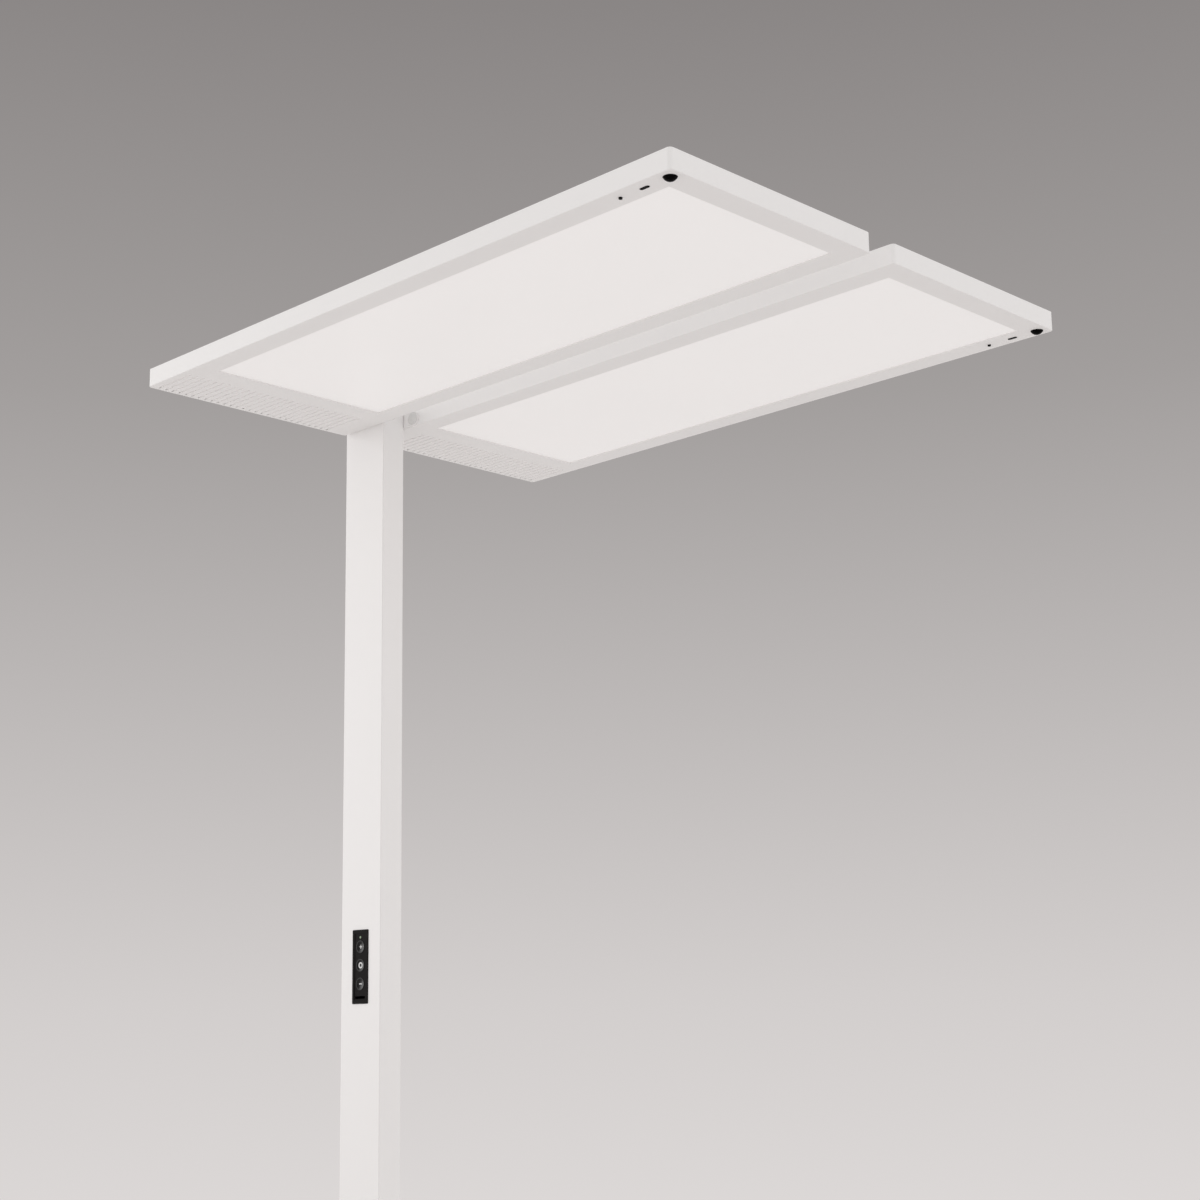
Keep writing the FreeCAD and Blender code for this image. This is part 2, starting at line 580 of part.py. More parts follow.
def arms():
    keep_pair("arm", arm_shape())
    tip = COLUMN_DEPTH / 2 - ARM_SCREW_GRIP
    keep_both("arm_screws", *[screw("Y", (x, ARM_MID_Z), INNER_Y - CLOSE, tip, ARM_SCREW_R, ARM_SCREW_HEAD)
                              for x in ARM_SCREWS_X])


def arm_bolts():
    """Domed bolts that hold the heads' blocks to the arms' noses."""
    centre = (ARM_NOSE_X, ARM_MID_Z)
    seat = COLUMN_DEPTH / 2
    top = seat - ARM_BOLT_HEAD_H
    dome = cylinder("Y", centre, top, seat, ARM_BOLT_HEAD_R)
    dome = dome.common(ball_for(ARM_BOLT_HEAD_R, ARM_BOLT_HEAD_H - ARM_BOLT_RIM, "Y", centre, top, 1))
    shank = cylinder("Y", centre, seat, INNER_Y + TRAY_WALL + ARM_BOLT_REACH, ARM_BOLT_R)
    keep_both("arm_bolts", joined([dome, shank]))


def head_blocks():
    """Block inside the head's inner side: bolted to the arm's nose, hung on the arm by a pin."""
    y0 = INNER_Y + TRAY_WALL
    y1 = y0 + HEAD_BLOCK_DEPTH
    block = box(REAR_X + TRAY_CORNER_R + HEAD_BLOCK_GAP, ARM_NOSE_X + HEAD_BLOCK_PAST, y0, y1,
                ARM_Z + HEAD_BLOCK_LOWER, ARM_Z + ARM_HEIGHT - HEAD_BLOCK_LOWER)
    cuts = [cylinder("Y", (ARM_NOSE_X, ARM_MID_Z), y0 - OVER, y1 + OVER, ARM_BOLT_R + CLOSE),
            cylinder("Y", (COLUMN_X, ARM_MID_Z), y0 - OVER, y1 + OVER, HEAD_CABLE_R + FIT)]
    pin = cylinder("Y", (ARM_PIN_X, ARM_MID_Z), COLUMN_DEPTH / 2 + CLOSE, y0, ARM_PIN_R)
    keep_both("head_blocks", joined([without(block, cuts), pin]))


def wire_bushes():
    """Plastic bushes that line the cable's way through the column, the arms and the heads' sides."""
    y0, y1 = WALL_Y, INNER_Y + TRAY_WALL
    outer = CABLE_HOLE_R - CLOSE
    bush = cylinder("Y", (COLUMN_X, ARM_MID_Z), y0, y1, outer)
    keep_both("wire_bushes", bush.cut(cylinder("Y", (COLUMN_X, ARM_MID_Z), y0, y1, outer - BUSH_WALL)))


# ---------------------------------------------------------------- heads, shown for head B
def vent_lines():
    """Y of each vent slot's centre line, from the outer side inwards."""
    return [OUTER_Y - VENT_FIRST - index * VENT_PITCH for index in range(VENT_COUNT)]


def vent_slots(lines, z0, z1):
    x0 = REAR_X + VENT_START
    half = VENT_WIDTH / 2
    return [box(x0, x0 + VENT_LENGTH, y - half, y + half, z0, z1) for y in lines]


def cover_posts():
    """Posts that the cover is screwed to, in the channels beside the light stack."""
    outer_y, inner_y = OUTER_Y - POST_INSET, INNER_Y + POST_INSET
    return [(REAR_X + VENT_START + VENT_LENGTH + POST_PAST_VENTS, outer_y),
            (FRONT_X - POST_FROM_SENSORS, outer_y),
            (ARM_NOSE_X + POST_PAST_ARM, inner_y),
            (FRONT_X - POST_FROM_END, inner_y)]


def low_posts():
    """Short posts that the back plate is screwed to, one at each end of the light stack."""
    middle = (WINDOW_Y[0] + WINDOW_Y[1]) / 2
    return [(WINDOW_X[0] - LOW_POST_ENDS[0], middle), (WINDOW_X[1] + LOW_POST_ENDS[1], middle)]


def driver_posts():
    """Posts under the driver's ears, on ribs between two vent slots: the far one, the near one."""
    lines = vent_lines()
    far = (lines[DRIVER_POST_RIB] + lines[DRIVER_POST_RIB + 1]) / 2
    near = (lines[-DRIVER_POST_RIB] + lines[-DRIVER_POST_RIB + 1]) / 2
    x = REAR_X + VENT_START + VENT_LENGTH / 2
    return [(x, far), (x, near)]


def sensor_posts():
    return [(FRONT_X - x, SENSOR_Y) for x in SENSOR_POSTS]


def sensor_places():
    """X of the dome, the slot window and the pip, on the sensor line."""
    return FRONT_X - DOME_FROM_END, FRONT_X - SLOT_FROM_END, FRONT_X - PIP_FROM_END


def slot_window(z0, z1, grow=0.0):
    length, width = SLOT_SIZE
    x = sensor_places()[1]
    half_l, half_w = length / 2 + grow, width / 2 + grow
    return rounded_plate(x - half_l, x + half_l, SENSOR_Y - half_w, SENSOR_Y + half_w, z0, z1, half_w)


def uplight_span(grow=0.0):
    """Outline of the uplight window in the cover, grown on every side."""
    inset_x, inset_y = UPLIGHT_INSET
    return (WINDOW_X[0] + inset_x - grow, WINDOW_X[1] - inset_x + grow,
            WINDOW_Y[0] + inset_y - grow, WINDOW_Y[1] - inset_y + grow)


def head_tray():
    """Side walls and underside border in one piece, with the window, vents and inner posts."""
    wall = TRAY_WALL
    outer = rounded_plate(REAR_X, FRONT_X, INNER_Y, OUTER_Y, UNDERSIDE, TOTAL_HEIGHT, TRAY_CORNER_R)
    outer = outer.makeChamfer(TRAY_EDGE, edges_where(outer, lambda b: b.ZMax < UNDERSIDE + CLOSE))
    inside = rounded_plate(REAR_X + wall, FRONT_X - wall, INNER_Y + wall, OUTER_Y - wall,
                           TRAY_TOP, TOTAL_HEIGHT + OVER, TRAY_CORNER_R - wall)
    posts = [post(place, POST_SIDE, TRAY_TOP, COVER_LOW) for place in cover_posts()]
    posts += [post(place, POST_SIDE, TRAY_TOP, BACK_LOW) for place in low_posts()]
    posts += [post(place, DRIVER_POST_SIDE, TRAY_TOP, TRAY_TOP + DRIVER_STAND) for place in driver_posts()]
    posts += [post(place, SENSOR_POST_SIDE, TRAY_TOP, UNDERSIDE + SENSOR_BOARD_Z) for place in sensor_posts()]
    tray = joined([outer.cut(inside)] + posts)
    low, high = UNDERSIDE - OVER, TRAY_TOP + OVER
    cuts = [box(*WINDOW_X, *WINDOW_Y, low, high)]
    cuts += vent_slots(vent_lines(), low, high)
    cuts += [cylinder("Z", place, TRAY_TOP + POST_FOOT, TOTAL_HEIGHT, POST_BORE_R)
             for place in cover_posts() + low_posts()]
    dome_x, _, pip_x = sensor_places()
    cuts.append(cylinder("Z", (dome_x, SENSOR_Y), low, high, DOME_R - DOME_NECK + CLOSE))
    cuts.append(cylinder("Z", (pip_x, SENSOR_Y), low, high, PIP_R + CLOSE))
    cuts.append(slot_window(low, high, CLOSE))
    y0, y1 = INNER_Y - OVER, INNER_Y + wall + OVER
    cuts.append(cylinder("Y", (ARM_NOSE_X, ARM_MID_Z), y0, y1, ARM_BOLT_R + FIT))
    cuts.append(cylinder("Y", (ARM_PIN_X, ARM_MID_Z), y0, y1, ARM_PIN_R + FIT))
    cuts.append(cylinder("Y", (COLUMN_X, ARM_MID_Z), y0, y1, CABLE_HOLE_R))
    keep_pair("head_tray", without(tray, cuts))


def vent_liners():
    """White liner on the tray's floor, which shuts the slots but for their column ends."""
    lines = vent_lines()
    start = REAR_X + VENT_START
    sheet = box(start + LINER_OPEN, start + VENT_LENGTH + LINER_MARGIN, lines[-1] - LINER_MARGIN,
                lines[0] + LINER_MARGIN, TRAY_TOP, TRAY_TOP + LINER_THICKNESS)
    holes = [post(place, DRIVER_POST_SIDE + 2 * FIT, TRAY_TOP, TRAY_TOP + LINER_THICKNESS)
             for place in driver_posts()]
    keep_both("vent_liners", without(sheet, holes))


def head_cover():
    """Top cover, let in flush between the tray's walls, with vents and the uplight window."""
    gap = TRAY_WALL + COVER_GAP
    plate = rounded_plate(REAR_X + gap, FRONT_X - gap, INNER_Y + gap, OUTER_Y - gap, COVER_LOW,
                          TOTAL_HEIGHT, TRAY_CORNER_R - gap)
    cuts = [rounded_plate(*uplight_span(), COVER_LOW - OVER, TOTAL_HEIGHT + OVER, UPLIGHT_CORNER_R)]
    over_driver = vent_lines()[DRIVER_POST_RIB + 1:-DRIVER_POST_RIB]
    cuts += vent_slots(over_driver, COVER_LOW - OVER, TOTAL_HEIGHT + OVER)
    head_r, _ = COVER_SCREW_HEAD
    cuts += [cone("Z", place, COVER_LOW, TOTAL_HEIGHT, COVER_SCREW_R + FIT, head_r + FIT)
             for place in cover_posts()]
    keep_pair("head_cover", without(plate, cuts))
    keep_both("cover_screws", *[screw("Z", place, TOTAL_HEIGHT - CLOSE, COVER_LOW - COVER_SCREW_REACH,
                                      COVER_SCREW_R, COVER_SCREW_HEAD) for place in cover_posts()])


def light_stack():
    """Diffuser, light guide, reflector and back plate, from the window upwards."""
    x0, x1 = STACK_X
    y0, y1 = STACK_Y
    keep_pair("diffuser", box(x0, x1, y0, y1, TRAY_TOP, GUIDE_LOW))
    edge = BACK_FLANGE + LED_BOARD + LED_HEIGHT + FIT
    keep_pair("light_guide", box(x0, x1, y0 + edge, y1 - edge, GUIDE_LOW, REFLECTOR_LOW))
    keep_pair("reflector", box(x0, x1, y0 + BACK_FLANGE, y1 - BACK_FLANGE, REFLECTOR_LOW, BACK_LOW))
    posts = low_posts()
    plate = box(posts[0][0] - BACK_MARGIN, posts[-1][0] + BACK_MARGIN, y0, y1, BACK_LOW, BACK_TOP)
    flanges = [box(x0, x1, y0, y0 + BACK_FLANGE, GUIDE_LOW, BACK_TOP),
               box(x0, x1, y1 - BACK_FLANGE, y1, GUIDE_LOW, BACK_TOP)]
    holes = [cylinder("Z", place, BACK_LOW - OVER, BACK_TOP + OVER, COVER_SCREW_R + FIT) for place in posts]
    keep_pair("back_plate", without(joined([plate] + flanges), holes))
    keep_both("back_screws", *[screw("Z", place, BACK_TOP + BACK_SCREW_HEAD[1], BACK_TOP - BACK_SCREW_REACH,
                                     COVER_SCREW_R, BACK_SCREW_HEAD, False) for place in posts])


def led_strips():
    """Edge strips inside the back plate's flanges, each with one continuous line of light."""
    z0, z1 = GUIDE_LOW + LED_PLAY, REFLECTOR_LOW - LED_PLAY
    middle = (z0 + z1) / 2
    strips = []
    for wall_y, way in ((STACK_Y[0] + BACK_FLANGE, 1), (STACK_Y[1] - BACK_FLANGE, -1)):
        front_y = wall_y + way * LED_BOARD
        lamp_y = front_y + way * LED_HEIGHT
        board = box(*WINDOW_X, *sorted((wall_y, front_y)), z0, z1)
        line = box(*WINDOW_X, *sorted((front_y, lamp_y)), middle - LED_WIDTH / 2, middle + LED_WIDTH / 2)
        strips.append(joined([board, line]))
    keep_both("led_strips", *strips)


def uplight():
    """Board with rows of light on the back plate, and the lens under the cover's window."""
    keep_pair("uplight_lens", box(*uplight_span(UPLIGHT_LAP), COVER_LOW - UPLIGHT_THICKNESS, COVER_LOW))
    x0, x1, y0, y1 = uplight_span(-UPLIGHT_BOARD_INSET)
    top = BACK_TOP + BOARD_THICKNESS
    half = UPLIGHT_ROW_WIDTH / 2
    middles = [y0 + (y1 - y0) * (row + 0.5) / UPLIGHT_ROWS for row in range(UPLIGHT_ROWS)]
    rows = [box(x0 + half, x1 - half, y - half, y + half, top, top + LED_HEIGHT) for y in middles]
    keep_both("uplight_boards", joined([box(x0, x1, y0, y1, BACK_TOP, top)] + rows))


def driver():
    """Electronic driver over the vents, on two ears, with its cable towards the column."""
    (x, y_far), (_, y_near) = driver_posts()
    floor = TRAY_TOP + DRIVER_STAND
    top = floor + DRIVER_HEIGHT
    half = DRIVER_WIDTH / 2
    body = box(x - half, x + half, y_near + DRIVER_END, y_far - DRIVER_END, floor, top)
    body = body.makeChamfer(DRIVER_CHAMFER, edges_where(body, lambda b: b.ZMin > top - CLOSE))
    width, past, thick, radius = DRIVER_EAR
    ear = rounded_plate(x - width / 2, x + width / 2, y_near - past, y_far + past,
                        floor, floor + thick, radius)
    keep_pair("driver", joined([body, ear]))
    keep_both("head_cables", cylinder("Y", (COLUMN_X, ARM_MID_Z), JUNCTION_Y, y_near + DRIVER_END,
                                      HEAD_CABLE_R))


def sensors():
    """Presence sensor dome, slot window and light-sensor pip, with the board that they feed."""
    dome_x, _, pip_x = sensor_places()
    neck_r = DOME_R - DOME_NECK
    wide, thick = DOME_FLANGE
    centre = (dome_x, SENSOR_Y)
    tip = UNDERSIDE - DOME_DROP
    cap = cylinder("Z", centre, tip, UNDERSIDE, DOME_R)
    cap = cap.common(ball_for(DOME_R, DOME_DROP, "Z", centre, tip, 1))
    neck = cylinder("Z", centre, UNDERSIDE, TRAY_TOP + thick, neck_r)
    flange = cylinder("Z", centre, TRAY_TOP, TRAY_TOP + thick, neck_r + wide)
    keep_pair("sensor_dome", joined([cap, neck, flange]))
    board_z = UNDERSIDE + SENSOR_BOARD_Z
    pip = cylinder("Z", (pip_x, SENSOR_Y), UNDERSIDE - PIP_PROUD, board_z, PIP_R)
    keep_both("sensor_windows", slot_window(UNDERSIDE - SLOT_PROUD, board_z), pip)
    length, width = SENSOR_BOARD
    x1 = FRONT_X - TRAY_WALL - SENSOR_BOARD_GAPS[0]
    y1 = OUTER_Y - TRAY_WALL - SENSOR_BOARD_GAPS[1]
    board = box(x1 - length, x1, y1 - width, y1, board_z, board_z + BOARD_THICKNESS)
    detector = cylinder("Z", (dome_x, SENSOR_Y), TRAY_TOP + thick + DETECTOR_GAP, board_z, DETECTOR_R)
    keep_both("sensor_boards", joined([board, detector]))


# ---------------------------------------------------------------- keypad
def key_heights():
    first = KEYPAD_TOP - KEYPAD_HEAD - KEY_R
    return {name: first - index * KEY_PITCH for index, name in enumerate(("plus", "power", "minus"))}


def board_screw_places():
    """Two screws in opposite corners of the keypad's box."""
    x = KEYPAD_WIDTH / 2 - KEYPAD_RIM + LEDGE + KEYPAD_PLAY
    return [(COLUMN_X - x, KEYPAD_LOW + BOARD_SCREW_INSET), (COLUMN_X + x, KEYPAD_TOP - BOARD_SCREW_INSET)]


def snap_hooks(half, low, high):
    """Wedges that snap behind the column's wall at the sides of the keypad's box."""
    reach, depth, height = HOOK_SIZE
    y = COLUMN_FACE + COLUMN_WALL + CLOSE
    hooks = []
    for side in (-1, 1):
        edge = COLUMN_X + side * half
        for z in (low + HOOK_INSET[0], high - HOOK_INSET[1] - height):
            corners = [(edge, y), (edge + side * reach, y), (edge, y + depth), (edge, y)]
            wedge = Part.Face(Part.makePolygon([FreeCAD.Vector(px, py, z) for px, py in corners]))
            hooks.append(wedge.extrude(FreeCAD.Vector(0, 0, height)))
    return hooks


def keypad_bezel():
    """Rim on the column's face and the box behind it that snaps into the column's window."""
    half = KEYPAD_WIDTH / 2
    rim = rounded_panel(COLUMN_X - half, COLUMN_X + half, KEYPAD_LOW, KEYPAD_TOP, RIM_Y, COLUMN_FACE,
                        KEYPAD_CORNER_R)
    rim = rim.makeChamfer(KEYPAD_EDGE, edges_where(rim, lambda b: b.YMax < RIM_Y + CLOSE))
    reach, low, high = keypad_window()
    reach, low, high = reach - KEYPAD_PLAY, low + KEYPAD_PLAY, high - KEYPAD_PLAY
    body = box(COLUMN_X - reach, COLUMN_X + reach, COLUMN_FACE, BOARD_FRONT, low, high)
    bezel = joined([rim, body] + snap_hooks(reach, low, high))
    inner = half - KEYPAD_RIM
    face_low, face_high = KEYPAD_LOW + KEYPAD_RIM, KEYPAD_TOP - KEYPAD_RIM
    cuts = [box(COLUMN_X - inner, COLUMN_X + inner, RIM_Y - OVER, FACE_BACK, face_low, face_high),
            box(COLUMN_X - inner + LEDGE, COLUMN_X + inner - LEDGE, FACE_BACK - OVER, BOARD_FRONT + OVER,
                face_low + LEDGE, face_high - LEDGE)]
    cuts += [cylinder("Y", place, BOARD_FRONT - BOARD_SCREW_REACH - FIT, BOARD_FRONT + OVER,
                      BOARD_SCREW_R + CLOSE) for place in board_screw_places()]
    keep("keypad_bezel", without(bezel, cuts))


def keypad_face():
    """Inset panel with round key holes, a pilot-light hole and a narrow slot with a pane behind it."""
    inset = KEYPAD_RIM + CLOSE
    half = KEYPAD_WIDTH / 2 - inset
    panel = box(COLUMN_X - half, COLUMN_X + half, FACE_Y, FACE_BACK, KEYPAD_LOW + inset, KEYPAD_TOP - inset)
    y0, y1 = FACE_Y - OVER, FACE_BACK + OVER
    cuts = [cylinder("Y", (COLUMN_X, z), y0, y1, KEY_R + KEY_CLEARANCE) for z in key_heights().values()]
    cuts.append(cylinder("Y", (COLUMN_X, KEYPAD_TOP - LIGHT_DROP), y0, y1, LIGHT_R + CLOSE))
    length, width = RECEIVER_SIZE
    z = KEYPAD_LOW + RECEIVER_FOOT
    x0, x1 = COLUMN_X - length / 2, COLUMN_X + length / 2
    cuts.append(box(x0, x1, y0, y1, z - width / 2, z + width / 2))
    keep("keypad_face", without(panel, cuts))
    ledge = KEYPAD_LOW + KEYPAD_RIM + LEDGE
    keep("receiver_window", box(x0 + FIT, x1 - FIT, FACE_BACK, FACE_BACK + RECEIVER_PANE, ledge,
                                z + width / 2 + RECEIVER_PANE))


def keys():
    """Three dished round keys with a guide flange behind the face, each with its switch plunger."""
    front = FACE_Y - KEY_PROUD
    seat = FACE_BACK + KEY_PLAY
    wide, thick = KEY_FLANGE
    tip = SWITCH_FACE + PLUNGER_DEPTH
    for name, z in key_heights().items():
        centre = (COLUMN_X, z)
        cap = cylinder("Y", centre, front, seat + thick, KEY_R)
        flange = cylinder("Y", centre, seat, seat + thick, KEY_R + wide)
        dish = ball_for(KEY_R - KEY_RIM, KEY_DISH, "Y", centre, front + KEY_DISH, -1)
        keep("key_" + name, joined([cap, flange]).cut(dish))
        keep("plunger_" + name, cylinder("Y", centre, seat + thick, tip, PLUNGER_R))


def keypad_electronics():
    """Switches behind the keys, the board that carries them, its screws and the pilot light."""
    half = SWITCH_SIDE / 2
    switches = []
    for z in key_heights().values():
        body = box(COLUMN_X - half, COLUMN_X + half, SWITCH_FACE, BOARD_FRONT, z - half, z + half)
        switches.append(body.cut(cylinder("Y", (COLUMN_X, z), SWITCH_FACE - OVER, BOARD_FRONT - SWITCH_FLOOR,
                                          PLUNGER_R + FIT)))
    keep("keypad_switches", *switches)
    reach, low, high = keypad_window()
    reach, low, high = reach - BOARD_EDGE, low + BOARD_EDGE, high - BOARD_EDGE
    board = box(COLUMN_X - reach, COLUMN_X + reach, BOARD_FRONT, BOARD_BACK, low, high)
    holes = [cylinder("Y", place, BOARD_FRONT - OVER, BOARD_BACK + OVER, BOARD_SCREW_R + FIT)
             for place in board_screw_places()]
    z = KEYPAD_TOP - LIGHT_DROP
    wide, high, deep = BOARD_SOURCE
    source = box(COLUMN_X - wide / 2, COLUMN_X + wide / 2, BOARD_FRONT - deep, BOARD_FRONT,
                 z - high / 2, z + high / 2)
    keep("keypad_board", joined([without(board, holes), source]))
    keep("keypad_screws", *[screw("Y", place, BOARD_BACK + BOARD_SCREW_HEAD[1],
                                  BOARD_FRONT - BOARD_SCREW_REACH, BOARD_SCREW_R, BOARD_SCREW_HEAD, False)
                            for place in board_screw_places()])
    keep("pilot_light", cylinder("Y", (COLUMN_X, z), FACE_Y - LIGHT_PROUD, BOARD_FRONT - deep, LIGHT_R))


# ---------------------------------------------------------------- build everything
def main():
    base_plate()
    column_foot()
    column()
    column_cap()
    cable_gland()
    terminal_block()
    column_wiring()
    arms()
    arm_bolts()
    head_blocks()
    wire_bushes()
    head_tray()
    vent_liners()
    head_cover()
    light_stack()
    led_strips()
    uplight()
    driver()
    sensors()
    keypad_bezel()
    keypad_face()
    keys()
    keypad_electronics()
    os.makedirs("parts", exist_ok=True)
    for name, solids in PIECES.items():
        shape = solids[0] if len(solids) == 1 else Part.makeCompound(solids)
        shape.exportStep("parts/" + name + ".step")
    print(len(PIECES), "pieces,", sum(len(solids) for solids in PIECES.values()), "solids")


main()
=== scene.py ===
import json
import math

import bmesh
import bpy
import numpy as np
from mathutils import Matrix, Vector

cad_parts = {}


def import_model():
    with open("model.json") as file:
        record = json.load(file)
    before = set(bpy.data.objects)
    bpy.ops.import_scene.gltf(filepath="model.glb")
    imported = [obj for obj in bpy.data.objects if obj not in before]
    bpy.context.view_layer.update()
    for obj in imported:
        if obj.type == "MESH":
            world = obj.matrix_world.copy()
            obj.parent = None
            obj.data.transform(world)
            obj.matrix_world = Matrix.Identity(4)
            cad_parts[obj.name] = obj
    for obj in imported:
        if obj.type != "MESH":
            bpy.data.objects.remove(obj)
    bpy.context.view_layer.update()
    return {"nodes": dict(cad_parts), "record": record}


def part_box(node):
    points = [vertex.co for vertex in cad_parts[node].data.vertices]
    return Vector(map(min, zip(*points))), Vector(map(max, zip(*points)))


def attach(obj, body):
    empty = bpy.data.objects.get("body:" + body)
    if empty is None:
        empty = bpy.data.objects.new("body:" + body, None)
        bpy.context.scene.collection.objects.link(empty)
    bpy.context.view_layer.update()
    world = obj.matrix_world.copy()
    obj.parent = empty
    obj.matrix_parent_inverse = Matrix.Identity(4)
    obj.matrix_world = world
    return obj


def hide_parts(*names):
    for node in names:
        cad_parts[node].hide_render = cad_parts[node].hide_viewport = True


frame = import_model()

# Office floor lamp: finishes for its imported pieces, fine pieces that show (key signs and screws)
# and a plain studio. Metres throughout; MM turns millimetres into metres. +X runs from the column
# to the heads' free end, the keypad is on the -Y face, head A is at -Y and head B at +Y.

MM = 0.001
LAMP = "lamp"

# ---------------------------------------------------------------- photograph's camera
IMAGE_SIDE = 1200.0                # pixels
FOCAL_LENGTH = 2020.0              # pixels
PRINCIPAL_DROP = 40.0              # pixels that the optical axis lies below the image's middle
SENSOR = 36.0                      # millimetres
CAMERA_PLACE = (1.683, -1.669, 1.115)
CAMERA_YAW = -44.71                # degrees from +Y, towards +X
CAMERA_PITCH = 11.09               # degrees
CAMERA_ROLL = -0.85                # degrees
CAMERA_SIGHT = 100.0               # how far it sees

# ---------------------------------------------------------------- studio
BACKDROP = (                       # sine of the elevation, colour
    (-0.200, (0.575, 0.553, 0.546)),
    (-0.082, (0.714, 0.685, 0.677)),
    (0.019, (0.645, 0.617, 0.610)),
    (0.307, (0.361, 0.342, 0.337)),
    (0.478, (0.254, 0.238, 0.235)),
)
ROOM_LIGHT = 0.88
ROOM_TINT = (1.0, 0.99, 0.985)
FLOOR_COLOUR = (0.78, 0.755, 0.745)
FLOOR_SEEN = (0.60, 0.577, 0.570)  # to the camera and in reflections
FLOOR_REACH = 4.8
FLOOR_FADE = (1.3, 4.656)          # distances from the middle where fading starts and ends
FLOOR_RINGS = 7
FLOOR_STEPS = 96
SOFTBOX_SIDE = 2.98
SOFTBOX_AWAY = 4.6
SOFTBOXES = (                      # bearing from +X towards +Y in degrees, height, watts
    ("softbox_left", 202.0, 2.42, 53.0),
    ("softbox_right", 40.0, 2.42, 14.0),
)

# ---------------------------------------------------------------- surfaces and screws
MERGE_WITHIN = 1e-7
SHARP_ANGLE = 35.0                 # degrees; edges sharper than this stay crisp
SCREWS_APART = 10 * MM
SCREW_STEPS = 48
SCREW_SPIN = 0.7                   # radians that each screw is turned past the one before
SCREW_EASE = 0.05                  # rounding of the head's edges, in head radii
SCREW_FLAT = 0.75                  # ring in the flat top, in head radii
SCREW_RIM = 1.5                    # depth at which the head's upright rim ends, in roundings
SCREW_TIP = 0.4                    # in shank radii
SOCKET_RADIUS = 0.44               # in head radii
SOCKET_DEPTH = 0.50                # in head radii
SOCKET_FLOOR = 0.86                # radius of the flat floor, in socket radii
SOCKET_KNEE = (0.95, 0.42)         # between floor and wall: radius as above, depth in head radii
SOCKET_LOBES = 6
SOCKET_SWING = 7.0                 # the lobes swing by the mean radius over this

# ---------------------------------------------------------------- keys and their signs
DISH_CHORD = 7.1 * MM
DISH_DEPTH = 1.1 * MM
SIGN_PROUD = 0.04 * MM
SIGN_SKIRT = 2.5 * SIGN_PROUD
SIGN_ROWS = 7
SIGN_STEPS = 72
PLUS_REACH = 2.4 * MM
PLUS_HALF = 0.62 * MM
MINUS_REACH = 2.7 * MM
MINUS_HALF = 0.70 * MM
RING_OUTER = 4.05 * MM
RING_INNER = 2.15 * MM
HAIR = 1e-9                        # keeps a bar's edge finite along its own direction

# ---------------------------------------------------------------- tones and pitches of finishes
WHITE_PAINT = (0.84, 0.822, 0.815)
LIT_WHITE = (1.0, 0.985, 0.98)
ACRYLIC = (0.94, 0.96, 0.96)
SIGN_INK = ((0.60, 0.60, 0.59), (0.74, 0.74, 0.73))
PILOT_BODY = ((0.10, 0.16, 0.08), (0.24, 0.30, 0.20))
PILOT_GLOW = ((0.16, 0.24, 0.12), (0.40, 0.46, 0.34))
PRISM_PITCH = 3.2 * MM
FROST_DOT_PITCH = 2.5 * MM
FROST_DOT_RADIUS = 0.25            # in pitches
TRACK_PITCH = 2.4 * MM
TRACK_FROM = 0.82                  # height of the wave above which a track runs
COPPER_FROM = 0.52                 # noise above which there are tracks at all


# ---------------------------------------------------------------- shader maths
class Value:
    """A number or colour that a node gives. Arithmetic on numbers adds Math nodes."""

    def __init__(self, nodes, socket):
        self.nodes = nodes
        self.socket = socket

    def maths(self, operation, first, second):
        return self.nodes.add("Math", {"operation": operation}, {0: first, 1: second})

    def __add__(self, other):
        return self.maths("ADD", self, other)

    def __radd__(self, other):
        return self.maths("ADD", other, self)

    def __sub__(self, other):
        return self.maths("SUBTRACT", self, other)

    def __rsub__(self, other):
        return self.maths("SUBTRACT", other, self)

    def __mul__(self, other):
        return self.maths("MULTIPLY", self, other)

    def __rmul__(self, other):
        return self.maths("MULTIPLY", other, self)

    def __gt__(self, other):
        return self.maths("GREATER_THAN", self, other)


